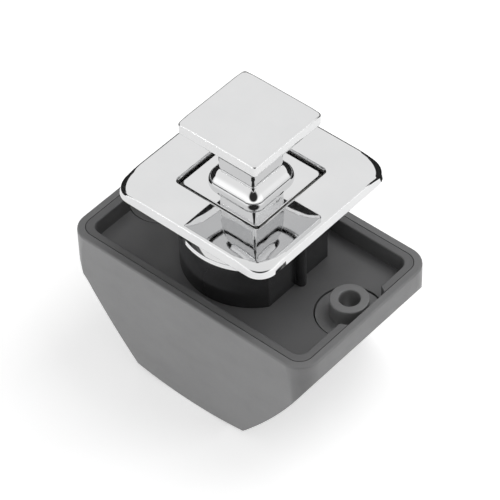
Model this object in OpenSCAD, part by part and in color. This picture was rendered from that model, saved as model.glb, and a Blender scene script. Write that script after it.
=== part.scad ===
// Pushbutton latch for a door or drawer front: square knob, rosette, guide core and case.
// Millimetres. Z runs along the knob, up out of the door. The latch bolt slides out along Y.
// X runs along the long side of the case. Z = 0 is the rim of the case, where it meets the door.

/* [Knob] */
// Side of the square head
head_side = 25; // [22:0.1:26]
// Thickness of the head
head_thick = 3.4; // [2.5:0.1:4.5]
// Corner radius of the head
head_corner = 1.0; // [0.5:0.1:2]
// Height of the head's face above the rosette's face
knob_out = 19.5; // [18:0.1:22]
// Side of the square neck
neck_side = 11.6; // [10:0.1:13]
// Corner radius of the neck
neck_corner = 0.7; // [0.3:0.1:1.5]
// How far the rounded collar at the neck's base stands out
collar_out = 1.7; // [1:0.1:2.5]
// Height of that collar
collar_high = 4.1; // [3:0.1:5]
// Depth of the foot plate below the rosette's face
foot_drop = 0.8; // [0.5:0.1:1.5]
// Thickness of the foot plate
foot_thick = 3; // [2.8:0.1:4]
// Gap between the foot plate and the rosette's opening, each side
foot_gap = 0.8; // [0.7:0.05:1.1]
// Corner radius of the foot plate
foot_corner = 1.4; // [1:0.1:3]

/* [Rosette] */
// Side of the square rosette
rosette_side = 49.1; // [46:0.1:52]
// Thickness of the rosette
rosette_thick = 3.2; // [2.5:0.1:4]
// Corner radius of the rosette
rosette_corner = 5; // [3:0.1:7]
// Side of the square opening for the knob
opening_side = 26.24; // [26.1:0.02:27]
// Corner radius of that opening
opening_corner = 1; // [0.8:0.1:1.6]
// Space between the rim of the case and the rosette, for the door
door_gap = 19.6; // [18:0.1:22]
// Height of the sleeve's lower edge above the rim
sleeve_low = 8.2; // [7:0.1:9]
// Outer diameter of the sleeve
sleeve_dia = 38.2; // [38:0.1:38.8]
// Height of the groove above the sleeve's lower edge
groove_up = 1.1; // [0.8:0.1:2.5]
// Width of that groove
groove_high = 0.5; // [0.3:0.1:0.8]
// Depth of that groove
groove_deep = 0.35; // [0.2:0.05:0.4]

/* [Guide core] */
// Diameter of the round core
core_dia = 37.6; // [37:0.1:37.8]
// Distance of the core's two flats from the axis
core_flat = 15; // [14.8:0.1:15.5]
// Thickness of the sleeve round the upper core
sleeve_wall = 0.85; // [0.7:0.05:1]
// Room for the knob's head in the square channel, each side
channel_room = 0.4; // [0.3:0.05:0.5]
// Corner radius of the channel
channel_corner = 2.3; // [2:0.1:2.6]
// Clearance of the plunger's flange in the channel, each side
channel_play = 0.15; // [0.1:0.01:0.2]
// Radius of the key rib on each flat
rib_r = 1.3; // [1:0.1:1.6]

/* [Case] */
// Length of the case at the rim
case_long = 78.2; // [76:0.1:82]
// Room between the core and the tray's wall on the bolt's side
room_back = 0.3; // [0.3:0.05:0.6]
// Room between the core and the tray's wall on the other side
room_front = 4; // [3:0.1:5]
// Upright corner radius
case_corner = 6.1; // [5:0.1:7.5]
// Height of the straight ends below the rim
end_high = 6.6; // [5.5:0.1:8]
// Half length of the case at its lower edge
low_half = 18.1; // [17.6:0.1:19]
// Depth of the lower edge below the rim
low_deep = 37.2; // [36.9:0.1:39]
// Bulge of each sloped end
end_bulge = 1.06; // [0.6:0.02:1.3]
// Bulge of the underside
base_bulge = 1.67; // [1.4:0.01:2]
// Draft of each long side over its height
side_draft = 0.84; // [0.5:0.02:1]
// Wall of the case
case_wall = 2.1; // [1.8:0.1:2.4]

/* [Tray] */
// Gap round the tray inside the case
tray_gap = 0.2; // [0.18:0.01:0.3]
// Wall of the tray
tray_wall = 2; // [1.6:0.1:2.4]
// Corner radius inside the tray
tray_corner = 2.8; // [1.8:0.1:4]
// Depth of the tray's floor below the rim
tray_deep = 5.2; // [4.8:0.1:5.6]
// Thickness of that floor
tray_floor = 2; // [1.8:0.1:2.4]

/* [Screw towers] */
// Distance between the two fixing holes
fix_span = 62.8; // [62:0.1:63.4]
// Radius of the fixing holes
fix_r = 2.75; // [2.2:0.05:3]
// Radius of the bosses
boss_r = 5; // [4.5:0.1:5.6]
// Radius of the towers below the bosses
tower_r = 8.55; // [8:0.05:8.6]
// Radius of the cut-outs round the towers
cutout_r = 8.9; // [8.8:0.05:9.2]
// Radius of the screw pockets
pocket_r = 4.9; // [4.4:0.1:5]
// Thickness of material under the screw heads
seat_thick = 9.5; // [8.5:0.1:10]

/* [Push mechanism] */
// Stroke of the knob
stroke = 18; // [16:0.5:18]
// Bolt travel for each millimetre of knob travel
ratio = 0.5; // [0.45:0.01:0.5]
// Thickness of the plunger's flange
flange_thick = 2.2; // [2:0.1:2.6]
// Side of the plunger's square stem
stem_side = 8; // [7.4:0.1:8.4]
// Radius of the cross pin
pin_r = 1.25; // [1:0.05:1.4]
// Running clearance of the pin, on the radius
pin_play = 0.05; // [0.02:0.01:0.1]
// Depth of the cross pin below the rim
pin_deep = 15.5; // [15:0.1:16]
// Wire diameter of the plunger spring
spring_wire = 1; // [0.8:0.1:1.1]
// Outer diameter of the plunger spring
spring_dia = 15.8; // [15:0.1:16.2]
// Turns of the plunger spring
spring_turns = 7; // [5:1:7]

/* [Bolt and chassis] */
// Width of the latch bolt
bolt_wide = 16; // [15:0.1:16.2]
// Height of the latch bolt
bolt_high = 8.8; // [8:0.1:9.2]
// Depth of the bolt's top below the rim
bolt_deep = 12.3; // [12.3:0.1:12.6]
// Thickness of each cheek of the bolt
cheek = 2.4; // [2:0.1:2.6]
// Depth of the drawn-in bolt's tip behind the case's side
bolt_in = 0.7; // [0.6:0.1:1]
// Thickness of the chassis's top plate
chassis_top = 4.9; // [4.8:0.1:5]
// Width of the chassis
chassis_wide = 22.6; // [22.4:0.1:24]

/* [Heart cam] */
// Radius of the follower wire
wire_r = 0.7; // [0.6:0.05:0.8]
// Half distance between the two lanes of the cam
lane = 1.9; // [1.8:0.05:2]
// Length of the follower between its two ends
follower_long = 15.8; // [15:0.1:16.4]
// Thickness of the follower's leaf spring
leaf_thick = 0.4; // [0.3:0.05:0.5]
// Length of that spring
leaf_long = 11; // [10.6:0.1:12]
// Radius of the rivets that hold it
rivet_r = 0.7; // [0.6:0.05:0.8]
// Distance between the two rivets
rivet_span = 7; // [6.6:0.1:7.4]
// Half width of the heart
heart_half = 0.85; // [0.7:0.05:0.95]
// Width of the cam bar
cam_wide = 10.4; // [9:0.1:10.6]
// Depth of the cam track
cam_deep = 2.1; // [1.8:0.1:2.2]

/* [Hidden] */
e = 0.01;
far = 100;
fine = 96;
small = 40;
// Knob and rosette heights
rosette_top = door_gap + rosette_thick;
head_top = rosette_top + knob_out;
head_low = head_top - head_thick;
foot_top = rosette_top - foot_drop;
foot_low = foot_top - foot_thick;
flange_low = foot_low - flange_thick;
foot_side = opening_side - 2 * foot_gap;
channel_side = head_side + 2 * channel_room;
flange_side = channel_side - 2 * channel_play;
flange_corner = channel_corner - 0.1;
// Collar: arc that stands upright on the foot plate and meets the neck
collar_r = (collar_out * collar_out + collar_high * collar_high) / (2 * collar_out);
collar_c = neck_side / 2 + collar_out - collar_r;
// Core
core_top = door_gap - 0.3;
core_step = sleeve_low - 0.2;
core_play = 0.05;
upper_r = sleeve_dia / 2 - sleeve_wall - core_play;
sleeve_flat = core_flat - 0.05;
upper_flat = sleeve_flat - sleeve_wall - core_play;
// Case outline
half_long = case_long / 2;
tray_in = case_wall + tray_gap + tray_wall;
y_front = -core_dia / 2 - room_front - tray_in;
y_back = core_dia / 2 + room_back + tray_in;
case_wide = y_back - y_front;
case_mid = (y_back + y_front) / 2;
draft = side_draft / low_deep;
end_a = [half_long, -end_high];
end_b = [low_half, -low_deep];
end_chord = norm(end_a - end_b);
end_r = end_chord * end_chord / (8 * end_bulge) + end_bulge / 2;
end_u = (end_b - end_a) / end_chord;
end_c = (end_a + end_b) / 2 + [end_u[1], -end_u[0]] * (end_r - end_bulge);
base_r = low_half * low_half / (2 * base_bulge) + base_bulge / 2;
base_z = -low_deep - base_bulge + base_r;
case_low = -low_deep - base_bulge;
// Tray
floor_top = -tray_deep;
floor_low = -tray_deep - tray_floor;
tower_top = floor_top - 0.35;
// Assembly screws through chassis and tray into the core
join_x = 6.2;
join_y = core_dia / 2 - 3.4;
join_r = 1.45;
join_head_r = 2.3;
join_head = 2;
join_seat = floor_low - 2.7;
join_end = 4.2;
// Small screws from the flange into the foot plate
kscrew_at = 9.4;
kscrew_r = 1;
kscrew_head_r = 1.9;
kscrew_head = 1.2;
kscrew_end = foot_low + 2.1;
// Chassis and spring seat
chassis_low = floor_low - chassis_top;
washer_thick = 0.4;
seat_z = floor_low - 3.3;
seat_r = spring_dia / 2 + 0.7;
stem_hole = stem_side + 0.3;
// Bolt and its pin
pin_z = -pin_deep;
stem_low = pin_z - pin_r - 1.15;
bolt_tip = y_back - bolt_in;
bolt_half = bolt_wide / 2;
cheek_in = bolt_half - cheek;
bolt_top = -bolt_deep;
nose_low = bolt_top - bolt_high;
nose_root = 10;
cheek_back = -12.6;
cheek_front = 3.5;
cheek_low = pin_z - stroke - pin_r - 1.15;
slot_r = pin_r + pin_play;
guide_gap = 0.3;
rail_in = bolt_half + guide_gap;
rail_back = -12;
rail_front = y_back - 3.2;
rail_low = -30;
plate_half = join_y + join_head_r + 0.3;
// Heart cam, in the plunger's own place at rest
cam_front = -9;
cam_back = -12.4;
cam_half = cam_wide / 2;
tip_z = chassis_low - 1.1;
track_half = lane + wire_r + 0.4;
track_low = tip_z - 2.3;
track_high = tip_z + stroke + 2.3;
cam_low = track_low - 1.7;
passage_half = cam_half + 0.3;
// Follower
wire_y = cam_back - 0.3 - wire_r;
pivot_z = tip_z - follower_long;
tongue_half = 3.5;
tongue_in = wire_y - wire_r - 0.1 - leaf_thick;
tongue_out = tongue_in - 3.4;
tongue_low = pivot_z - 3;
tip_y = cam_back + cam_deep - 0.4;
leaf_low = tip_z - 1.5 - leaf_long;
rivet_zs = [leaf_low + 2.5, leaf_low + 2.5 + rivet_span];
rivet_head_r = rivet_r + 0.6;
small_head = 0.5;
clip_high = 0.9;
clip_z = chassis_low - 0.25 - clip_high;
clip_bite = 0.85;

cover();
tray();
core();
rosette();
knob();
plunger();
knob_screws();
plunger_spring();
spring_washer();
stop_clip();
drive_pin();
bolt();
chassis();
frame_screws();
follower();
leaf_spring();
leaf_rivets();
pivot_washer();

// Rounded rectangle between two heights, its middle at cx, cy
module slab(lx, ly, r, z0, z1, cx = 0, cy = 0) {
  translate([cx, cy, z0])
    linear_extrude(height = z1 - z0)
      union() {
        square([lx - 2 * r, ly], center = true);
        square([lx, ly - 2 * r], center = true);
        for (sx = [-1, 1], sy = [-1, 1])
          translate([sx * (lx / 2 - r), sy * (ly / 2 - r)])
            circle(r = r, $fn = small);
      }
}

// Upright box given by its limits
module box(x0, x1, y0, y1, z0, z1) {
  translate([x0, y0, z0])
    cube([x1 - x0, y1 - y0, z1 - z0]);
}

// Upright rod at x, y
module rod(x, y, r, z0, z1, f = small) {
  translate([x, y, z0])
    cylinder(r = r, h = z1 - z0, $fn = f);
}

// Disc with two flats across X
module flatted(r, flat, z0, z1) {
  intersection() {
    rod(0, 0, r, z0, z1, fine);
    box(-flat, flat, -far, far, z0 - 1, z1 + 1);
  }
}

// Outer form of the case, drawn in by t on every side but the top
module case_form(t, top = 0) {
  intersection() {
    slab(case_long - 2 * t, case_wide - 2 * t, max(case_corner - t, 1), -far / 2, top, 0, case_mid);
    rotate([90, 0, 90])
      linear_extrude(height = far, center = true)
        polygon([
          [y_front + t, top + e],
          [y_front + t, 0],
          [y_front + t + draft * far / 2, -far / 2],
          [y_back - t - draft * far / 2, -far / 2],
          [y_back - t, 0],
          [y_back - t, top + e]
        ]);
    end_drum(end_r - t);
    mirror([1, 0, 0])
      end_drum(end_r - t);
    translate([0, 0, base_z])
      rotate([90, 0, 0])
        cylinder(r = base_r - t, h = far, center = true, $fn = fine * 2);
  }
}

// Wide drum whose skin is the bulged end of the case
module end_drum(r) {
  translate([end_c[0], 0, end_c[1]])
    rotate([90, 0, 0])
      cylinder(r = r, h = far, center = true, $fn = fine * 2);
}

// Case shell with two screw towers, four ledges for the tray and the bolt's window
module cover() {
  color([0.42, 0.42, 0.43])
  difference() {
    union() {
      difference() {
        case_form(0);
        case_form(case_wall, 1);
      }
      intersection() {
        case_form(0);
        union() {
          for (s = [-1, 1]) {
            rod(s * fix_span / 2, 0, tower_r, -far / 2, tower_top, fine);
            box(s * 17 - 4, s * 17 + 4, y_front, y_front + case_wall + 2.2, -far / 2, floor_low);
            box(s * 17 - 4, s * 17 + 4, y_back - case_wall - 2.2, y_back, -far / 2, floor_low);
          }
        }
      }
      for (s = [-1, 1])
        rod(s * fix_span / 2, 0, boss_r, tower_top - 1, -0.05, fine);
    }
    for (s = [-1, 1]) {
      rod(s * fix_span / 2, 0, fix_r, -far / 2, 1, small);
      rod(s * fix_span / 2, 0, pocket_r, -far / 2, -seat_thick, small);
    }
    box(-rail_in - 0.1, rail_in + 0.1, bolt_tip - 4, y_back + 2, nose_low - guide_gap, bolt_top + guide_gap);
  }
}

// Tray inside the case, its rim level with the rim of the case
module tray() {
  color([0.3, 0.3, 0.31])
  difference() {
    intersection() {
      case_form(case_wall + tray_gap);
      box(-far, far, -far, far, floor_low, 1);
    }
    slab(case_long - 2 * tray_in, case_wide - 2 * tray_in, tray_corner, floor_top, 1, 0, case_mid);
    for (s = [-1, 1])
      rod(s * fix_span / 2, 0, cutout_r, -far / 2, 1, fine);
    rod(0, 0, seat_r, floor_low - 1, floor_top + 1, fine);
    box(-passage_half, passage_half, cam_back - 0.3, cam_front + 0.6, floor_low - 1, floor_top + 1);
    for (sx = [-1, 1], sy = [-1, 1])
      rod(sx * join_x, sy * join_y, join_r + 0.25, floor_low - 1, floor_top + 1);
  }
}

// Round guide core with two flats, a square channel and a key rib on each flat
module core() {
  color([0.08, 0.08, 0.085])
  difference() {
    union() {
      flatted(core_dia / 2, core_flat, floor_top, core_step);
      flatted(upper_r, upper_flat, floor_top, core_top);
      for (s = [-1, 1]) {
        rod(s * (core_flat + 0.9), 0, rib_r, floor_top, core_step);
        box(min(s * core_flat, s * (core_flat + 0.9)) - 0.4, max(s * core_flat, s * (core_flat + 0.9)),
            -rib_r, rib_r, floor_top, core_step);
      }
    }
    slab(channel_side, channel_side, channel_corner, floor_top - 1, core_top + 1);
    for (sx = [-1, 1], sy = [-1, 1])
      rod(sx * join_x, sy * join_y, join_r + 0.05, floor_top - 1, join_end + 0.4);
  }
}

// Square rosette with its opening and a flatted sleeve
module rosette() {
  color([0.85, 0.85, 0.87])
  difference() {
    union() {
      slab(rosette_side, rosette_side, rosette_corner, door_gap, rosette_top);
      flatted(sleeve_dia / 2, sleeve_flat, sleeve_low, door_gap + 1);
    }
    slab(opening_side, opening_side, opening_corner, sleeve_low - 1, rosette_top + 1);
    flatted(sleeve_dia / 2 - sleeve_wall, sleeve_flat - sleeve_wall, sleeve_low - 1, door_gap - 0.2);
    difference() {
      rod(0, 0, sleeve_dia, sleeve_low + groove_up, sleeve_low + groove_up + groove_high, fine);
      rod(0, 0, sleeve_dia / 2 - groove_deep, sleeve_low, sleeve_low + groove_up + groove_high + 1, fine);
    }
  }
}

// Knob: square head, neck with a rounded collar and the foot plate in the rosette's opening
module knob() {
  color([0.87, 0.87, 0.89])
  difference() {
    union() {
      slab(head_side, head_side, head_corner, head_low, head_top);
      slab(neck_side, neck_side, neck_corner, foot_top - 1, head_low + 1);
      slab(foot_side, foot_side, foot_corner, foot_low, foot_top);
      intersection() {
        collar_bar();
        rotate([0, 0, 90])
          collar_bar();
      }
    }
    for (sx = [-1, 1], sy = [-1, 1])
      rod(sx * kscrew_at, sy * kscrew_at, kscrew_r + 0.05, foot_low - 1, kscrew_end + 0.1);
  }
}

// Bar with both long sides bulged as the collar, for two that cross
module collar_bar() {
  wide = neck_side + 2 * collar_out + 2;
  intersection() {
    translate([0, 0, foot_top])
      rotate([90, 0, 0])
        linear_extrude(height = wide, center = true)
          union() {
            for (s = [-1, 1])
              translate([s * collar_c, 0])
                circle(r = collar_r, $fn = fine);
            square([2 * collar_c, 2 * collar_r], center = true);
          }
    box(-wide, wide, -wide, wide, foot_top - 1, foot_top + collar_high);
  }
}

// Plunger: flange, square stem and cam bar with the heart track
module plunger() {
  color([0.82, 0.82, 0.78])
  difference() {
    union() {
      slab(flange_side, flange_side, flange_corner, flange_low, foot_low);
      box(-stem_side / 2, stem_side / 2, -stem_side / 2, stem_side / 2, stem_low, flange_low + 1);
      box(-cam_half, cam_half, cam_back, cam_front, cam_low, flange_low + 1);
    }
    for (sx = [-1, 1], sy = [-1, 1])
      rod(sx * kscrew_at, sy * kscrew_at, kscrew_r + 0.2, flange_low - 1, foot_low + 1);
    translate([0, 0, pin_z])
      rotate([0, 90, 0])
        cylinder(r = slot_r, h = far, center = true, $fn = small);
    for (s = [-1, 1])
      box(s * stem_side / 2 - clip_bite, s * stem_side / 2 + clip_bite, -far / 2, far / 2,
          clip_z - 0.05, clip_z + clip_high + 0.05);
    difference() {
      box(-track_half, track_half, cam_back - 1, cam_back + cam_deep, track_low, track_high);
      heart();
    }
  }
}

// Heart island inside the track, with the notch that holds the follower
module heart() {
  notch = tip_z + stroke - 3.3;
  translate([0, cam_back - e, 0])
    rotate([-90, 0, 0])
      linear_extrude(height = cam_deep + 1)
        mirror([0, 1])
          polygon([
            [0, tip_z + 4.5],
            [heart_half, tip_z + 7],
            [heart_half, notch + 1.3],
            [0, notch],
            [-heart_half, notch + 1.3],
            [-heart_half, tip_z + 7]
          ]);
}

// Four screws that hold the plunger's flange to the knob's foot plate
module knob_screws() {
  color([0.7, 0.7, 0.72])
  for (sx = [-1, 1], sy = [-1, 1])
    difference() {
      union() {
        rod(sx * kscrew_at, sy * kscrew_at, kscrew_r, flange_low - e, kscrew_end);
        rod(sx * kscrew_at, sy * kscrew_at, kscrew_head_r, flange_low - kscrew_head, flange_low);
      }
      for (a = [0, 90])
        translate([sx * kscrew_at, sy * kscrew_at, flange_low - kscrew_head])
          rotate([0, 0, a])
            cube([2.2, 0.5, 1], center = true);
    }
}

// Compression spring between the seat washer and the plunger's flange
module plunger_spring() {
  r = spring_wire / 2;
  rm = spring_dia / 2 - r;
  z0 = seat_z + washer_thick + r;
  z1 = flange_low - r;
  per = 24;
  sides = 8;
  steps = (spring_turns + 2) * per;
  // Height along the wire: one flat turn at each end, even pitch between
  pts = [for (i = [0 : steps], k = [0 : sides - 1])
    let (
      turn = i / per,
      lead = (z1 - z0 - 2 * spring_wire) / spring_turns,
      z = turn < 1 ? z0 + spring_wire * turn
        : turn > spring_turns + 1 ? z1 - spring_wire * (spring_turns + 2 - turn)
        : z0 + spring_wire + lead * (turn - 1),
      a = 360 * turn,
      b = 360 * k / sides,
      rr = rm + r * cos(b)
    )
    [rr * cos(a), rr * sin(a), z + r * sin(b)]];
  skin = [for (i = [0 : steps - 1], k = [0 : sides - 1])
    let (a = i * sides + k, b = i * sides + (k + 1) % sides)
    [a, b, b + sides, a + sides]];
  start = [[for (k = [sides - 1 : -1 : 0]) k]];
  stop = [[for (k = [0 : sides - 1]) steps * sides + k]];
  color([0.6, 0.6, 0.62])
  polyhedron(points = pts, faces = concat(skin, start, stop), convexity = 10);
}

// Steel washer that carries the spring
module spring_washer() {
  color([0.65, 0.65, 0.67])
  difference() {
    rod(0, 0, seat_r - 0.15, seat_z, seat_z + washer_thick, fine);
    rod(0, 0, 6, seat_z - 1, seat_z + 2, fine);
    box(-passage_half - 0.2, passage_half + 0.2, -far, -7.9, seat_z - 1, seat_z + 2);
  }
}

// Fork clip in the stem's grooves: the knob's upper stop
module stop_clip() {
  bite = stem_side / 2 - clip_bite + 0.05;
  color([0.6, 0.6, 0.62])
  difference() {
    box(-cheek_in + 0.4, cheek_in - 0.4, -5.4, stem_side / 2, clip_z, clip_z + clip_high);
    box(-bite, bite, -stem_side / 2 - 0.05, far, clip_z - 1, clip_z + clip_high + 1);
  }
}

// Cross pin through the stem, running in the bolt's slots
module drive_pin() {
  color([0.68, 0.68, 0.7])
  translate([0, 0, pin_z])
    rotate([0, 90, 0])
      cylinder(r = pin_r, h = bolt_wide, center = true, $fn = small);
}

// Latch bolt: solid nose and two cheeks with inclined slots
module bolt() {
  color([0.75, 0.75, 0.77])
  difference() {
    union() {
      box(-bolt_half, bolt_half, nose_root, bolt_tip, nose_low, bolt_top);
      for (s = [0, 1])
        mirror([s, 0, 0]) {
          box(cheek_in, bolt_half, cheek_back, nose_root + 1, nose_low, bolt_top);
          box(cheek_in, bolt_half, cheek_back, cheek_front, cheek_low, nose_low + 1);
        }
    }
    drive_slot();
  }
}

// Inclined slot through both cheeks
module drive_slot() {
  run = norm([stroke, stroke * ratio]) + 0.3;
  tilt = atan(ratio);
  translate([0, 0, pin_z])
    rotate([-tilt, 0, 0])
      translate([0, 0, 0.15]) {
        rotate([0, 90, 0])
          cylinder(r = slot_r, h = far, center = true, $fn = small);
        translate([0, 0, -run])
          rotate([0, 90, 0])
            cylinder(r = slot_r, h = far, center = true, $fn = small);
        box(-far / 2, far / 2, -slot_r, slot_r, -run, 0);
      }
}

// Chassis under the tray: spring seat, bolt rails and the follower's tongue
module chassis() {
  half = chassis_wide / 2;
  color([0.12, 0.12, 0.13])
  difference() {
    union() {
      box(-half, half, -plate_half, plate_half, chassis_low, floor_low);
      for (s = [0, 1])
        mirror([s, 0, 0])
          box(rail_in, half, rail_back, rail_front, rail_low, chassis_low + 1);
      box(-half, half, rail_front - 6.6, rail_front, nose_low - 3, nose_low - 0.15);
      box(-tongue_half, tongue_half, tongue_out, tongue_in, tongue_low, chassis_low + 1);
    }
    rod(0, 0, seat_r, seat_z, floor_low + 1, fine);
    slab(stem_hole, stem_hole, 0.2, chassis_low - 1, floor_low + 1);
    box(-passage_half, passage_half, cam_back - 0.3, cam_front + 0.6, chassis_low - 1, floor_low + 1);
    for (sx = [-1, 1], sy = [-1, 1]) {
      rod(sx * join_x, sy * join_y, join_r + 0.25, chassis_low - 1, floor_low + 1);
      rod(sx * join_x, sy * join_y, join_head_r + 0.2, rail_low - 1, join_seat);
    }
    translate([-lane, 0, pivot_z])
      rotate([90, 0, 0])
        cylinder(r = wire_r + 0.05, h = far, $fn = small);
    for (z = rivet_zs)
      translate([0, 0, z])
        rotate([90, 0, 0])
          cylinder(r = rivet_r + 0.05, h = far, $fn = small);
  }
}

// Four screws through chassis and tray into the core
module frame_screws() {
  color([0.7, 0.7, 0.72])
  for (sx = [-1, 1], sy = [-1, 1])
    difference() {
      union() {
        rod(sx * join_x, sy * join_y, join_r, join_seat - e, join_end);
        rod(sx * join_x, sy * join_y, join_head_r, join_seat - join_head, join_seat);
      }
      for (a = [0, 90])
        translate([sx * join_x, sy * join_y, join_seat - join_head])
          rotate([0, 0, a])
            cube([2.8, 0.6, 1.6], center = true);
    }
}

// Bent wire follower: pivot in the chassis, tip in the heart track
module follower() {
  color([0.66, 0.66, 0.68])
  union() {
    rod(-lane, wire_y, wire_r, pivot_z, tip_z);
    translate([-lane, wire_y, tip_z])
      sphere(r = wire_r, $fn = small);
    translate([-lane, wire_y, pivot_z])
      sphere(r = wire_r, $fn = small);
    translate([-lane, wire_y, tip_z])
      rotate([-90, 0, 0])
        cylinder(r = wire_r, h = tip_y - wire_y, $fn = small);
    translate([-lane, wire_y, pivot_z])
      rotate([90, 0, 0])
        cylinder(r = wire_r, h = wire_y - tongue_out + 0.9, $fn = small);
  }
}

// Leaf spring that keeps the follower in the track
module leaf_spring() {
  color([0.6, 0.6, 0.62])
  difference() {
    box(-tongue_half + 0.1, tongue_half - 0.1, tongue_in, tongue_in + leaf_thick, leaf_low, leaf_low + leaf_long);
    for (z = rivet_zs)
      translate([0, 0, z])
        rotate([90, 0, 0])
          cylinder(r = rivet_r + 0.05, h = far, center = true, $fn = small);
  }
}

// Two rivets that hold the leaf spring
module leaf_rivets() {
  color([0.7, 0.7, 0.72])
  for (z = rivet_zs)
    translate([0, tongue_in + leaf_thick, z])
      rotate([90, 0, 0]) {
        cylinder(r = rivet_r, h = tongue_in - tongue_out + leaf_thick, $fn = small);
        translate([0, 0, tongue_in - tongue_out + leaf_thick])
          cylinder(r = rivet_head_r, h = small_head, $fn = small);
      }
}

// Push-on washer at the outer end of the follower's pivot
module pivot_washer() {
  color([0.65, 0.65, 0.67])
  translate([-lane, tongue_out, pivot_z])
    rotate([90, 0, 0])
      difference() {
        cylinder(r = wire_r + 0.8, h = small_head, $fn = small);
        translate([0, 0, -1])
          cylinder(r = wire_r, h = 3, $fn = small);
      }
}
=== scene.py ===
import math

import bmesh
import bpy
from mathutils import Matrix, Vector


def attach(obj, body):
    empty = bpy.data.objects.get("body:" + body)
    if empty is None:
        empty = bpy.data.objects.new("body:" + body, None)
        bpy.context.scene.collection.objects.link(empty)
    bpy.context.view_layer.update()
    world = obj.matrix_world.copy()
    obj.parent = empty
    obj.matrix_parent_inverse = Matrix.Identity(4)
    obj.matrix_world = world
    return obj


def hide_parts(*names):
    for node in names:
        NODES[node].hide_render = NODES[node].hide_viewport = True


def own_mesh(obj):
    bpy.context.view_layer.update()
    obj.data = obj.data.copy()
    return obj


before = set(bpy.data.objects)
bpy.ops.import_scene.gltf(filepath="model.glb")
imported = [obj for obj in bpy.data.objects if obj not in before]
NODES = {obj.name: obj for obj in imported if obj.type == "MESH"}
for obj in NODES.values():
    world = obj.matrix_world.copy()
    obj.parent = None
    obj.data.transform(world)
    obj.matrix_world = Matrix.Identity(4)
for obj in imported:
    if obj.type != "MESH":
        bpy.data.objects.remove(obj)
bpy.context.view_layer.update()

MM = 0.001
CORNERS = ((1, 1), (-1, 1), (-1, -1), (1, -1))
QUARTER = math.radians(90)

# ---------------------------------------------------------------- sizes of the knob, in mm
HEAD_HALF, HEAD_R = 12.5, 1.0
HEAD_LOW, HEAD_TOP, HEAD_EDGE = 38.9, 42.3, 0.3
HEAD_LIP = {"lip": 0.55, "face_in": 0.75, "face_r": 1.9, "slope": 0.35}
DOME_SAG, DOME_POWER, DOME_STEPS = 0.8, 4, 8
NECK_HALF, NECK_R = 5.8, 0.7
COLLAR_OUT, COLLAR_HIGH, COLLAR_R, COLLAR_STEPS = 2.9, 4.1, 3.8, 12
COLLAR_END = math.radians(55)
SPREAD_TOP, SPREAD_OUT, SPREAD_R = 29.2, 0.12, 1.3
FOOT_HALF, FOOT_R, FOOT_EDGE = 12.32, 1.4, 0.25
FOOT_LOW, FOOT_TOP = 19.0, 22.0

# ---------------------------------------------------------------- sizes of the rosette, in mm
ROSE_HALF, ROSE_R, ROSE_DRAFT = 24.55, 5.0, 0.22
ROSE_LOW, ROSE_TOP, ROSE_EDGE = 19.6, 22.8, 0.25
ROSE_LIP = {"lip": 0.7, "face_in": 1.0, "face_r": 9.0, "slope": 0.42}
OPEN_HALF, OPEN_R, OPEN_LIP, OPEN_STEPS = 13.12, 1.0, 0.7, 4
WEB_LOW = ROSE_LOW - 0.2
SLEEVE_R, SLEEVE_FLAT, SLEEVE_WALL, SLEEVE_STEPS = 19.1, 14.95, 0.85, 40
SLEEVE_LOW, SLEEVE_BEVEL, SLEEVE_BEVEL_IN = 8.2, 0.12, 0.1
GROOVE_Z, GROOVE_HIGH, GROOVE_DEEP, BEAD_IN = 9.3, 0.62, 0.62, 0.32
# The groove ends at the flats; a hair of depth there keeps its faces from having no width
GROOVE_FLAT = SLEEVE_FLAT * 0.99999

# ---------------------------------------------------------------- places on moulded pieces, in mm
CASE_X, CASE_HALF, CASE_R, CASE_MID = 39.1, 25.25, 6.1, -1.85   # outline of the cover's rim
CASE_DRAFT = 0.84 / 37.2        # how far a long side runs in, per mm down
BLEND_X, BLEND_FROM, BLEND_TO, BLEND_LOW, BLEND_OFF = 33.0, -0.02, 0.48, -0.9, 0.05
SKIN_Z, SKIN_Y = -4.0, -20.9    # the edges between front and ends are below and in front
TRAY_X, TRAY_HALF, TRAY_R = 34.8, 20.95, 2.8    # outline of the tray's well
RIM_Z = -0.05                   # the edges of both rims are above
TOWER_X, BOSS_R, BOSS_Z = 31.4, 5.3, -0.3       # the edges of a boss's top are within and above
CUTOUT_IN, CUTOUT_OUT, CUTOUT_Z = 8.6, 9.2, -5.3    # radii round a boss, and the height
CORE_SKIN, CORE_FLAT = 14.7, -15.02     # the outer edges, without those of the -X key rib
ON_LINE = 0.3                   # how near an outline counts as on it

# ---------------------------------------------------------------- mesh quality
KNOB_FINE, ROSE_FINE = (8, 9), (16, 15)     # steps round a corner, points on a side
EDGE_STEPS, LIP_STEPS = 3, 6
MIN_R = 0.02                                # mm
WELD, WELD_CHROME = 3e-5, 1e-7              # m
DISSOLVE_ANGLE, FLAT_ANGLE = 0.4, 0.25      # degrees
SMOOTH, SMOOTH_WIRE = 35, 50                # degrees
FLAT_SHARE = 0.25                           # of the largest region's area
NO_LENGTH = 1e-12

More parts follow.
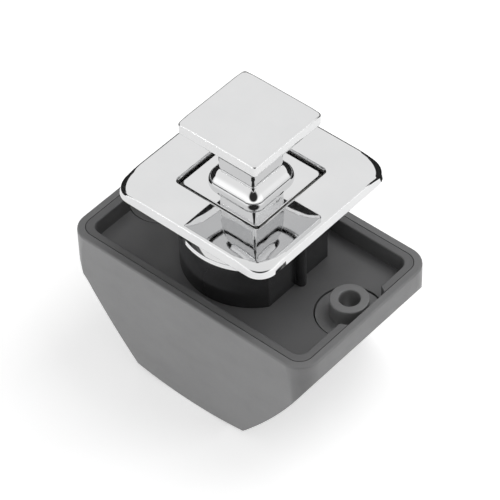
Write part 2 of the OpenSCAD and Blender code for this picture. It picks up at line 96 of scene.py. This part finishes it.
# ---------------------------------------------------------------- studio, in m and W
FLOOR_Z, FLOOR_HALF, FLOOR_TONE = -0.03887, 3.0, 0.86
FLOOR_CAMERA, FLOOR_METAL = 0.5, 0.38       # emission seen by the camera and by the metal
TENT = ((0.0, 0.75), (0.35, 0.96), (0.75, 0.94), (1.0, 0.90))
BOX_AIM, BOX_FADE, BOX_TOP, BOX_TONE = (0.670, -0.742, 0.0), (0.05, 0.30), (0.36, 0.60), 1.28
GAP_AIM, GAP_FADE, GAP_TONE = (0.516, -0.572, 0.638), (0.80, 0.90), 0.03
ROOM_TONE, CARD_TONE, MATT = 0.40, 0.012, 0.9
CARDS = (   # name, middle, turn in degrees, width and height
    ("card_left", (-0.1, 0.015, 0.0305), 90, (0.23, 0.111)),
    ("card_back", (0.015, 0.1, 0.0235), 0, (0.23, 0.125)),
)
LAMPS = (   # name, place, target, size, power
    ("front_low", (-0.45, -0.55, 0.0), (0, 0, -0.01), (0.5, 0.07), 3.1),
    ("right_low", (0.55, 0.35, 0.13), (0, 0, -0.01), (0.5, 0.07), 1.35),
    ("top_box", (0.15, 0.35, 0.7), (0, 0, 0), (0.5, 0.5), 2.2),
)

# ---------------------------------------------------------------- camera, solved from the photo
CAMERA_TURN = (42.0677, 45.9622, -1.7791)   # azimuth, elevation and roll in degrees
CAMERA_AT = (326.537, -363.109, 501.358)    # mm
FOCAL_PX, PHOTO_PX, SENSOR = 2772.085, 500, 36
CLIP = (0.05, 20)                           # m


# ---------------------------------------------------------------- rings and lofts
def rounded(half, r, z, fine, inset=0.0):
    """Ring of a rounded square, from the +X side round by +Y. The number of points depends on
    fine alone, so that any two rings can be lofted."""
    arc, straight = fine
    rr = max(r - inset, MIN_R)
    c = half - inset - rr
    pts = []
    for k, (cx, cy) in enumerate(CORNERS):
        start = math.radians(90 * k)
        for i in range(arc + 1):
            a = start + QUARTER * i / arc
            pts.append((c * cx + rr * math.cos(a), c * cy + rr * math.sin(a), z))
        # Straight side up to the next corner
        nx, ny = CORNERS[(k + 1) % 4]
        a = start + QUARTER
        sx, sy = c * cx + rr * math.cos(a), c * cy + rr * math.sin(a)
        ex, ey = c * nx + rr * math.cos(a), c * ny + rr * math.sin(a)
        for i in range(1, straight + 1):
            t = i / (straight + 1)
            pts.append((sx + (ex - sx) * t, sy + (ey - sy) * t, z))
    return pts


def flatted(r, flat, z):
    """Ring of a disc with two flats across X, from the +Y end of the +X flat round by +Y."""
    half = math.acos(flat / r)
    pts = []
    for s in (0, 1):
        for i in range(SLEEVE_STEPS + 1):
            a = half + (math.pi - 2 * half) * i / SLEEVE_STEPS + math.pi * s
            pts.append((r * math.cos(a), r * math.sin(a), z))
    return pts


def loft(bm, rings):
    """Quads between rings of the same length; returns the rings' vertices."""
    loops = [[bm.verts.new(Vector(p) * MM) for p in ring] for ring in rings]
    n = len(loops[0])
    for lo, hi in zip(loops, loops[1:]):
        for i in range(n):
            j = (i + 1) % n
            bm.faces.new((lo[i], lo[j], hi[j], hi[i]))
    return loops


def edges_of(loop):
    """Edges between the neighbours in a closed loop of vertices."""
    return [next(e for e in v.link_edges if e.other_vert(v) is w)
            for v, w in zip(loop, loop[1:] + loop[:1])]


def ring_face(bm, outer, inner):
    """Flat face with a hole, between two loops."""
    bmesh.ops.triangle_fill(bm, edges=edges_of(outer) + edges_of(inner), use_beauty=True)


def fillet(half, r, z_edge, radius, up, fine):
    """Rings round an outer horizontal edge, from the side face to the face on top (up) or below."""
    rings = []
    for i in range(EDGE_STEPS + 1):
        a = QUARTER * i / EDGE_STEPS
        rise = radius * math.sin(a)
        z = z_edge - radius + rise if up else z_edge + radius - rise
        rings.append(rounded(half, r, z, fine, radius * (1 - math.cos(a))))
    return rings


def onto_square(x, y, half, r):
    """Nearest point of a rounded square's outline, for a point outside it."""
    c = half - r
    cx, cy = max(-c, min(c, x)), max(-c, min(c, y))
    d = math.hypot(x - cx, y - cy)
    return cx + (x - cx) / d * r, cy + (y - cy) / d * r


def lipped(half, r, top, fine, lip, face_in, face_r, slope):
    """Upper edge of a cast plate: rounded lip, then a face whose own corners are rounder than the
    plate's, so that each corner droops a little, as casting and polishing leave it."""
    lip_end = rounded(half, r, 0, fine, lip)
    face = [onto_square(x, y, half - face_in, face_r) for x, y, _ in lip_end]
    drop = [(math.dist(p[:2], q) - (face_in - lip)) * slope for p, q in zip(lip_end, face)]
    rings = []
    for i in range(LIP_STEPS + 1):
        a = QUARTER * i / LIP_STEPS
        base = rounded(half, r, 0, fine, lip * (1 - math.cos(a)))
        rings.append([(x, y, top - d - lip + lip * math.sin(a))
                      for (x, y, _), d in zip(base, drop)])
    rings.append([(x, y, top) for x, y in face])
    return rings


def dome(half, r, z, fine):
    """Underside that bulges down between its straight edges, from the edge in to the neck."""
    def swell(t):
        return 1 - min(abs(t) / half, 1) ** DOME_POWER

    full = 1 - (NECK_HALF / half) ** DOME_POWER
    rings = []
    for k in range(DOME_STEPS + 1):
        t = k / DOME_STEPS
        ring = rounded(half + (NECK_HALF - half) * t, r + (NECK_R - r) * t, z, fine)
        rings.append([(x, y, z - DOME_SAG * swell(x) * swell(y) / full) for x, y, _ in ring])
    return rings


# ---------------------------------------------------------------- normals and objects
def flood(start, limit, open_edge=lambda edge: True):
    """Faces reached from one face over open edges, each at less than the limit to the one before;
    the limit is given as a cosine."""
    found, stack = [start], [start]
    while stack:
        g = stack.pop()
        for e in g.edges:
            if len(e.link_faces) != 2 or not open_edge(e):
                continue
            h = e.link_faces[0] if e.link_faces[1] is g else e.link_faces[1]
            if h not in found and h.normal.dot(g.normal) > limit:
                found.append(h)
                stack.append(h)
    return found


def region_areas(bm):
    """Area of the flat region that each face belongs to."""
    limit = math.cos(math.radians(FLAT_ANGLE))
    bm.faces.ensure_lookup_table()
    area = [0.0] * len(bm.faces)
    for f in bm.faces:
        if not area[f.index]:
            members = flood(f, limit)
            total = sum(g.calc_area() for g in members)
            for g in members:
                area[g.index] = total
    return area


def corner_normals(bm, smooth):
    """One normal for each face corner: the largest flat region round the point wins, and the
    regions of a curved face, which are much alike in size, are averaged."""
    area = region_areas(bm)
    limit = math.cos(math.radians(smooth))
    out = []
    for f in bm.faces:
        for lp in f.loops:
            fan = flood(f, limit, lambda edge: lp.vert in edge.verts)
            top = max(area[g.index] for g in fan)
            n = Vector((0, 0, 0))
            for g in fan:
                if area[g.index] > FLAT_SHARE * top:
                    n += g.normal * area[g.index]
            if n.length < NO_LENGTH:
                n = f.normal.copy()
            out.append(n.normalized())
    return out


def placed(name, bm):
    """New object of the scene from the mesh."""
    me = bpy.data.meshes.new(name)
    bm.to_mesh(me)
    bm.free()
    ob = bpy.data.objects.new(name, me)
    bpy.context.scene.collection.objects.link(ob)
    return ob


def make(name, bm, material, body, node, smooth):
    """Object from the mesh, with clean normals, on its body and in its node's place."""
    bmesh.ops.recalc_face_normals(bm, faces=bm.faces)
    bm.normal_update()
    normals = corner_normals(bm, smooth)
    ob = placed(name, bm)
    ob.data.shade_smooth()
    ob.data.normals_split_custom_set(normals)
    ob.data.materials.append(material)
    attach(ob, body)
    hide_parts(node)
    return ob


# ---------------------------------------------------------------- node helpers
def new_material(name):
    mat = bpy.data.materials.new(name)
    mat.use_nodes = True
    nt = mat.node_tree
    return mat, nt, nt.nodes["Principled BSDF"]


def feed(nt, socket, value):
    """Links an input to another node's output, or gives it a plain value."""
    if isinstance(value, bpy.types.NodeSocket):
        nt.links.new(value, socket)
    else:
        socket.default_value = value


def calc(nt, operation, *values):
    node = nt.nodes.new("ShaderNodeMath")
    node.operation = operation
    for socket, value in zip(node.inputs, values):
        feed(nt, socket, value)
    return node.outputs["Value"]


def mixed(nt, factor, a, b):
    node = nt.nodes.new("ShaderNodeMix")
    node.data_type = "RGBA"
    feed(nt, node.inputs["Factor"], factor)
    feed(nt, node.inputs["A"], a)
    feed(nt, node.inputs["B"], b)
    return node.outputs["Result"]


def noise(nt, scale, detail, rough, seed, stretch=(1, 1, 1)):
    tc = nt.nodes.new("ShaderNodeTexCoord")
    mp = nt.nodes.new("ShaderNodeMapping")
    mp.inputs["Location"].default_value = (seed, seed * 0.7, -seed)
    mp.inputs["Scale"].default_value = stretch
    tx = nt.nodes.new("ShaderNodeTexNoise")
    tx.inputs["Scale"].default_value = scale
    tx.inputs["Detail"].default_value = detail
    tx.inputs["Roughness"].default_value = rough
    nt.links.new(tc.outputs["Object"], mp.inputs["Vector"])
    nt.links.new(mp.outputs["Vector"], tx.inputs["Vector"])
    return tx.outputs["Fac"]


def spread(nt, value, low, high, start=0.3, end=0.7):
    """Goes from low to high while the value goes from start to end."""
    mr = nt.nodes.new("ShaderNodeMapRange")
    mr.inputs["From Min"].default_value = start
    mr.inputs["From Max"].default_value = end
    mr.inputs["To Min"].default_value = low
    mr.inputs["To Max"].default_value = high
    nt.links.new(value, mr.inputs["Value"])
    return mr.outputs["Result"]


def ramp(nt, fac, stops):
    cr = nt.nodes.new("ShaderNodeValToRGB")
    el = cr.color_ramp.elements
    while len(el) < len(stops):
        el.new(0.5)
    for x, (pos, rgb) in zip(el, stops):
        x.position = pos
        x.color = (*rgb, 1)
    nt.links.new(fac, cr.inputs["Fac"])
    return cr.outputs["Color"]


def bump(nt, height, strength, distance, under=None):
    b = nt.nodes.new("ShaderNodeBump")
    b.inputs["Strength"].default_value = strength
    b.inputs["Distance"].default_value = distance
    nt.links.new(height, b.inputs["Height"])
    if under is not None:
        nt.links.new(under, b.inputs["Normal"])
    return b.outputs["Normal"]


def light_rays(nt, *kinds):
    """1 for the kinds of ray named, else 0."""
    node = nt.nodes.new("ShaderNodeLightPath")
    out = node.outputs[kinds[0]]
    for kind in kinds[1:]:
        out = calc(nt, "MAXIMUM", out, node.outputs[kind])
    return out


def facing(nt, direction, aim, start, end):
    """0 to 1 as the direction turns towards aim; start and end are cosines."""
    node = nt.nodes.new("ShaderNodeVectorMath")
    node.operation = "DOT_PRODUCT"
    node.inputs[1].default_value = aim
    nt.links.new(direction, node.inputs[0])
    return spread(nt, node.outputs["Value"], 0.0, 1.0, start, end)


def scaled(rgb, k):
    return tuple(min(c * k, 1.0) for c in rgb)


def grey(tone):
    return tone, tone, tone, 1


# ---------------------------------------------------------------- materials
def plastic(name, rgb, rough, grain, vary, seed, ripple=0.08):
    """Moulded plastic: spark-eroded grain, slow tone changes of the flow, uneven gloss."""
    mat, nt, p = new_material(name)
    flow = noise(nt, scale=55, detail=3, rough=0.5, seed=seed, stretch=(1, 1, 2.2))
    speck = noise(nt, scale=1500, detail=2, rough=0.6, seed=seed + 3)
    tone = calc(nt, "MULTIPLY_ADD", speck, 0.25, flow)
    stops = [(0.42, scaled(rgb, 1 - vary)), (0.62, rgb), (0.85, scaled(rgb, 1 + vary))]
    nt.links.new(ramp(nt, tone, stops), p.inputs["Base Color"])
    gloss = noise(nt, scale=210, detail=5, rough=0.62, seed=seed + 7)
    nt.links.new(spread(nt, gloss, *rough, start=0.35, end=0.68), p.inputs["Roughness"])
    wave = noise(nt, scale=130, detail=2, rough=0.5, seed=seed + 13)
    fine = noise(nt, scale=5200, detail=2, rough=0.5, seed=seed + 11)
    waved = bump(nt, wave, ripple, distance=0.0004)
    nt.links.new(bump(nt, fine, grain, distance=0.00006, under=waved), p.inputs["Normal"])
    p.inputs["IOR"].default_value = 1.49
    return mat


def metal(name, rgb, rough, grain, seed, vary=0.06, scale=900):
    """Bare or plated metal with a fine even finish."""
    mat, nt, p = new_material(name)
    tone = noise(nt, scale=260, detail=4, rough=0.6, seed=seed)
    stops = [(0.3, scaled(rgb, 1 - vary)), (0.7, scaled(rgb, 1 + vary))]
    nt.links.new(ramp(nt, tone, stops), p.inputs["Base Color"])
    finish = noise(nt, scale=scale, detail=3, rough=0.6, seed=seed + 5)
    nt.links.new(spread(nt, finish, *rough), p.inputs["Roughness"])
    nt.links.new(bump(nt, finish, grain, distance=0.00005), p.inputs["Normal"])
    p.inputs["Metallic"].default_value = 1.0
    return mat


def chrome(name):
    """Bright plating on a polished casting: faint waves, tiny tone and gloss changes, no grain."""
    mat, nt, p = new_material(name)
    tone = noise(nt, scale=90, detail=3, rough=0.55, seed=4.0)
    stops = [(0.3, (0.765, 0.768, 0.772)), (0.7, (0.795, 0.796, 0.798))]
    nt.links.new(ramp(nt, tone, stops), p.inputs["Base Color"])
    haze = noise(nt, scale=330, detail=5, rough=0.65, seed=9.0)
    nt.links.new(spread(nt, haze, 0.025, 0.06, start=0.4, end=0.75), p.inputs["Roughness"])
    wave = noise(nt, scale=70, detail=2, rough=0.5, seed=15.0)
    nt.links.new(bump(nt, wave, 0.05, distance=0.0003), p.inputs["Normal"])
    p.inputs["Metallic"].default_value = 1.0
    return mat


# name, colour, range of roughness, grain, then the plastics' variation of tone
case_grey = plastic("case_grey", (0.200, 0.200, 0.202), (0.34, 0.46), 0.10, 0.05, seed=1.0)
tray_grey = plastic("tray_grey", (0.150, 0.150, 0.152), (0.38, 0.52), 0.14, 0.06, seed=21.0)
black = plastic("black_plastic", (0.029, 0.029, 0.030), (0.16, 0.26), 0.02, 0.2, seed=41.0,
                ripple=0.02)
white_plastic = plastic("white_plastic", (0.62, 0.61, 0.57), (0.36, 0.5), 0.08, 0.04, seed=61.0)
bright = chrome("chrome")
plated = metal("plated_steel", (0.62, 0.62, 0.63), (0.22, 0.38), 0.06, seed=3.0)
spring_steel = metal("spring_steel", (0.42, 0.42, 0.44), (0.28, 0.42), 0.08, seed=33.0)
cast_metal = metal("die_cast", (0.50, 0.50, 0.52), (0.34, 0.5), 0.16, seed=53.0, vary=0.08,
                   scale=420)


# ---------------------------------------------------------------- chrome pieces
def knob():
    fine = KNOB_FINE
    bm = bmesh.new()
    # Head: underside from the neck out, rounded lower edge, side, rounded upper edge, face
    rings = dome(HEAD_HALF - HEAD_EDGE, HEAD_R - HEAD_EDGE, HEAD_LOW, fine)[::-1]
    rings += fillet(HEAD_HALF, HEAD_R, HEAD_LOW, HEAD_EDGE, False, fine)[::-1][1:]
    rings += lipped(HEAD_HALF, HEAD_R, HEAD_TOP, fine, **HEAD_LIP)
    bm.faces.new(loft(bm, rings)[-1])
    # Neck, rounded collar, foot plate
    upper = rounded(NECK_HALF, NECK_R, 0, fine)
    neck = [[(x, y, q[2]) for (x, y, _), q in zip(upper, rings[0])]]
    neck.append(rounded(NECK_HALF, NECK_R, SPREAD_TOP, fine))
    for i in range(COLLAR_STEPS + 1):
        a = COLLAR_END * (1 - i / COLLAR_STEPS)
        share = (math.cos(a) - math.cos(COLLAR_END)) / (1 - math.cos(COLLAR_END))
        z = FOOT_TOP + COLLAR_HIGH * math.sin(a) / math.sin(COLLAR_END)
        half = NECK_HALF + SPREAD_OUT + (COLLAR_OUT - SPREAD_OUT) * share
        neck.append(rounded(half, SPREAD_R + (COLLAR_R - SPREAD_R) * share, z, fine))
    neck += fillet(FOOT_HALF, FOOT_R, FOOT_TOP, FOOT_EDGE, True, fine)[::-1]
    neck.append(rounded(FOOT_HALF, FOOT_R, FOOT_LOW, fine))
    bm.faces.new(loft(bm, neck)[-1])
    bmesh.ops.remove_doubles(bm, verts=bm.verts, dist=WELD_CHROME)
    return make("knob_chrome", bm, bright, "button", "knob", SMOOTH)


def rosette():
    fine = ROSE_FINE
    bm = bmesh.new()
    rings = fillet(ROSE_HALF, ROSE_R, ROSE_LOW, ROSE_EDGE, False, fine)[::-1]
    rings += lipped(ROSE_HALF - ROSE_DRAFT, ROSE_R, ROSE_TOP, fine, **ROSE_LIP)
    outer = loft(bm, rings)
    # Opening, from the face down through the sleeve's web
    hole = []
    for i in range(OPEN_STEPS + 1):
        a = QUARTER * i / OPEN_STEPS
        z = ROSE_TOP - OPEN_LIP + OPEN_LIP * math.cos(a)
        hole.append(rounded(OPEN_HALF, OPEN_R, z, fine, -OPEN_LIP * (1 - math.sin(a))))
    hole.append(rounded(OPEN_HALF, OPEN_R, WEB_LOW, fine))
    inner = loft(bm, hole)
    ring_face(bm, outer[-1], inner[0])
    # Sleeve: outside with its groove, lower edge, inside up to the web
    groove_top, groove_r = GROOVE_Z + GROOVE_HIGH, SLEEVE_R - GROOVE_DEEP
    in_r, in_flat = SLEEVE_R - SLEEVE_WALL, SLEEVE_FLAT - SLEEVE_WALL
    sleeve = loft(bm, [
        flatted(SLEEVE_R, SLEEVE_FLAT, ROSE_LOW),
        flatted(SLEEVE_R, SLEEVE_FLAT, groove_top),
        flatted(groove_r, GROOVE_FLAT, groove_top),
        flatted(groove_r, GROOVE_FLAT, GROOVE_Z),
        flatted(SLEEVE_R - BEAD_IN, SLEEVE_FLAT, GROOVE_Z),
        flatted(SLEEVE_R, SLEEVE_FLAT, SLEEVE_LOW + SLEEVE_BEVEL),
        flatted(SLEEVE_R - SLEEVE_BEVEL, SLEEVE_FLAT - SLEEVE_BEVEL, SLEEVE_LOW),
        flatted(in_r + SLEEVE_BEVEL_IN, in_flat + SLEEVE_BEVEL_IN, SLEEVE_LOW),
        flatted(in_r, in_flat, SLEEVE_LOW + SLEEVE_BEVEL_IN),
        flatted(in_r, in_flat, WEB_LOW),
    ])
    ring_face(bm, outer[0], sleeve[0])
    ring_face(bm, sleeve[-1], inner[-1])
    return make("rosette_chrome", bm, bright, "case", "rosette", SMOOTH)


knob_piece = knob()
rosette_piece = rosette()


# ---------------------------------------------------------------- moulded pieces
def eased(node, rounds, angle=32, heal=None):
    """Copy of a CAD node with edges rounded as a mould leaves them. Rounds holds the radius, the
    test that picks an edge by its ends and the number of segments; only edges sharper than the
    angle count. Heal mends the mesh before that."""
    bm = bmesh.new()
    bm.from_mesh(NODES[node].data)
    bmesh.ops.remove_doubles(bm, verts=bm.verts, dist=WELD)
    bmesh.ops.dissolve_limit(bm, angle_limit=math.radians(DISSOLVE_ANGLE), verts=bm.verts,
                             edges=bm.edges)
    if heal:
        heal(bm)
    for radius, pick, segments in rounds:
        sharp = [e for e in bm.edges
                 if len(e.link_faces) == 2 and e.calc_face_angle(0) > math.radians(angle)
                 and all(pick(v.co.x / MM, v.co.y / MM, v.co.z / MM) for v in e.verts)]
        # Sharp mitres: rounded ones leave doubled points and thin slivers in these meshes
        bmesh.ops.bevel(bm, geom=sharp, offset=radius * MM, offset_type="OFFSET",
                        segments=segments, profile=0.5, affect="EDGES", clamp_overlap=False,
                        miter_outer="SHARP", miter_inner="SHARP")
    return bm


def merge_blends(bm):
    """The drafted long sides run out into the round corners in slivers finer than the rim's
    rounding; this closes their upper ends."""
    for side in (1, -1):
        for y in (CASE_MID - CASE_HALF, CASE_MID + CASE_HALF):
            near = [v for v in bm.verts
                    if v.co.z > BLEND_LOW * MM and abs(v.co.y / MM - y) < BLEND_OFF
                    and BLEND_FROM <= side * v.co.x / MM - BLEND_X < BLEND_TO]
            target = Vector((side * BLEND_X, y, 0)) * MM
            bmesh.ops.pointmerge(bm, verts=near, merge_co=target)


def off_outline(x, y, half_x, half_y, r):
    """Distance of a point from a rounded rectangle round the case's middle."""
    qx, qy = abs(x) - half_x + r, abs(y - CASE_MID) - half_y + r
    return abs(math.hypot(max(qx, 0), max(qy, 0)) + min(max(qx, qy), 0) - r)


def from_boss(x, y):
    """Distance of a point from the nearer boss's axis."""
    return math.hypot(abs(x) - TOWER_X, y)


def on_rim(x, y, z):
    return z > RIM_Z and off_outline(x, y, CASE_X, CASE_HALF, CASE_R) < ON_LINE


def on_boss(x, y, z):
    return z > BOSS_Z and from_boss(x, y) < BOSS_R


def on_skin(x, y, z):
    """Edges between the front and the ends, clear of the slivers below the rim."""
    half_y = CASE_HALF + z * CASE_DRAFT
    return z < SKIN_Z and y < SKIN_Y and off_outline(x, y, CASE_X, half_y, CASE_R) < ON_LINE


def on_tray_rim(x, y, z):
    return z > RIM_Z and off_outline(x, y, TRAY_X, TRAY_HALF, TRAY_R) < ON_LINE


def on_cutout(x, y, z):
    return z > CUTOUT_Z and CUTOUT_IN < from_boss(x, y) < CUTOUT_OUT


def on_core(x, y, z):
    return math.hypot(x, y) > CORE_SKIN and x > CORE_FLAT


cover_rounds = [(0.6, on_rim, 4), (0.35, on_boss, 3), (0.35, on_skin, 3)]
cover_piece = make("cover_moulded", eased("cover", cover_rounds, angle=26, heal=merge_blends),
                   case_grey, "case", "cover", SMOOTH)
tray_piece = make("tray_moulded", eased("tray", [(0.4, on_tray_rim, 3), (0.2, on_cutout, 2)]),
                  tray_grey, "case", "tray", SMOOTH)
core_piece = make("core_moulded", eased("core", [(0.2, on_core, 2)]),
                  black, "case", "core", SMOOTH)


# ---------------------------------------------------------------- spring
def coil():
    """Copy of the CAD spring, given a mesh of its own."""
    bm = bmesh.new()
    bm.from_mesh(NODES["plunger_spring"].data)
    piece = make("spring_coil", bm, spring_steel, "case", "plunger_spring", SMOOTH_WIRE)
    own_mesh(piece)
    return piece


coil()

FINISH = {
    "plunger": white_plastic,
    "knob_screws": plated,
    "plunger_spring": spring_steel,
    "spring_washer": plated,
    "stop_clip": spring_steel,
    "drive_pin": plated,
    "bolt": cast_metal,
    "chassis": black,
    "frame_screws": plated,
    "follower": spring_steel,
    "leaf_spring": spring_steel,
    "leaf_rivets": plated,
    "pivot_washer": plated,
    "cover": case_grey,
    "tray": tray_grey,
    "core": black,
    "rosette": bright,
    "knob": bright,
}
for node, mat in FINISH.items():
    mesh = NODES[node].data
    mesh.materials.clear()
    mesh.materials.append(mat)


# ---------------------------------------------------------------- stage and light
def matt_square(name, half, segments, surface, tone):
    """Flat square round the origin with a matt surface; returns its material's nodes too."""
    bm = bmesh.new()
    bmesh.ops.create_grid(bm, x_segments=segments, y_segments=segments, size=half)
    ob = placed(name, bm)
    mat, nt, p = new_material(surface)
    p.inputs["Base Color"].default_value = grey(tone)
    p.inputs["Roughness"].default_value = MATT
    ob.data.materials.append(mat)
    return ob, nt, p


def make_floor():
    floor, nt, p = matt_square("floor", FLOOR_HALF, 8, "floor_white", FLOOR_TONE)
    floor.location = (0, 0, FLOOR_Z)
    p.inputs["Specular IOR Level"].default_value = 0.1
    p.inputs["Emission Color"].default_value = grey(1)
    seen = calc(nt, "MULTIPLY", light_rays(nt, "Is Camera Ray"), FLOOR_CAMERA)
    metal_sees = light_rays(nt, "Is Glossy Ray", "Is Transmission Ray")
    glow = calc(nt, "MULTIPLY_ADD", metal_sees, FLOOR_METAL, seen)
    nt.links.new(glow, p.inputs["Emission Strength"])


def make_world():
    """The metal reflects a tent, the camera sees white, and all else is lit by an even grey."""
    world = bpy.data.worlds.new("studio")
    bpy.context.scene.world = world
    world.use_nodes = True
    nt = world.node_tree
    bg = nt.nodes["Background"]
    tc = nt.nodes.new("ShaderNodeTexCoord")
    direction = tc.outputs["Generated"]
    sep = nt.nodes.new("ShaderNodeSeparateXYZ")
    nt.links.new(direction, sep.inputs["Vector"])
    height = sep.outputs["Z"]
    # Pale cloth all round, dimmer towards the horizon
    tent = ramp(nt, height, [(z, (tone,) * 3) for z, tone in TENT])
    # Brighter cloth low down on the camera's side: white lines along the near lips and the collar
    near = facing(nt, direction, BOX_AIM, *BOX_FADE)
    low = spread(nt, height, 1.0, 0.0, *BOX_TOP)
    tent = mixed(nt, calc(nt, "MULTIPLY", near, low), tent, grey(BOX_TONE))
    # Dark gap behind the camera, which the near round corners of knob and sleeve reflect
    tent = mixed(nt, facing(nt, direction, GAP_AIM, *GAP_FADE), tent, grey(GAP_TONE))
    room = mixed(nt, light_rays(nt, "Is Glossy Ray"), grey(ROOM_TONE), tent)
    background = light_rays(nt, "Is Camera Ray", "Is Transmission Ray")
    nt.links.new(mixed(nt, background, room, grey(1)), bg.inputs["Color"])
    bg.inputs["Strength"].default_value = 1.0


def lamp(name, where, target, size, power):
    """Soft box that neither the camera nor the metal sees."""
    light = bpy.data.lights.new(name, "AREA")
    light.shape = "RECTANGLE"
    light.size, light.size_y = size
    light.energy = power
    ob = bpy.data.objects.new(name, light)
    ob.location = where
    aim = Vector(target) - Vector(where)
    ob.rotation_euler = aim.to_track_quat("-Z", "Y").to_euler()
    bpy.context.scene.collection.objects.link(ob)
    ob.visible_camera = False
    ob.visible_glossy = False


def card(name, where, turn, size):
    """Upright black card that only the metal's reflections show."""
    ob, _, _ = matt_square(name, 0.5, 1, name, CARD_TONE)
    ob.scale = (*size, 1)
    ob.rotation_euler = (QUARTER, 0, math.radians(turn))
    ob.location = where
    ob.visible_camera = False
    ob.visible_diffuse = False
    ob.visible_shadow = False


make_floor()
make_world()
for settings in CARDS:
    card(*settings)
for settings in LAMPS:
    lamp(*settings)


# ---------------------------------------------------------------- camera
def make_camera():
    az, el, roll = (math.radians(v) for v in CAMERA_TURN)
    back = Vector((math.sin(az) * math.cos(el), -math.cos(az) * math.cos(el), math.sin(el)))
    right = Vector((math.cos(az), math.sin(az), 0))
    up = back.cross(right)
    rolled_right = right * math.cos(roll) + up * math.sin(roll)
    rolled_up = up * math.cos(roll) - right * math.sin(roll)
    cam = bpy.data.cameras.new("camera")
    cam.sensor_width = SENSOR
    cam.lens = FOCAL_PX / PHOTO_PX * SENSOR
    cam.clip_start, cam.clip_end = CLIP
    ob = bpy.data.objects.new("camera", cam)
    m = Matrix((rolled_right, rolled_up, back)).transposed().to_4x4()
    m.translation = Vector(CAMERA_AT) * MM
    ob.matrix_world = m
    bpy.context.scene.collection.objects.link(ob)
    bpy.context.scene.camera = ob


make_camera()
bpy.context.scene.view_settings.view_transform = "Standard"
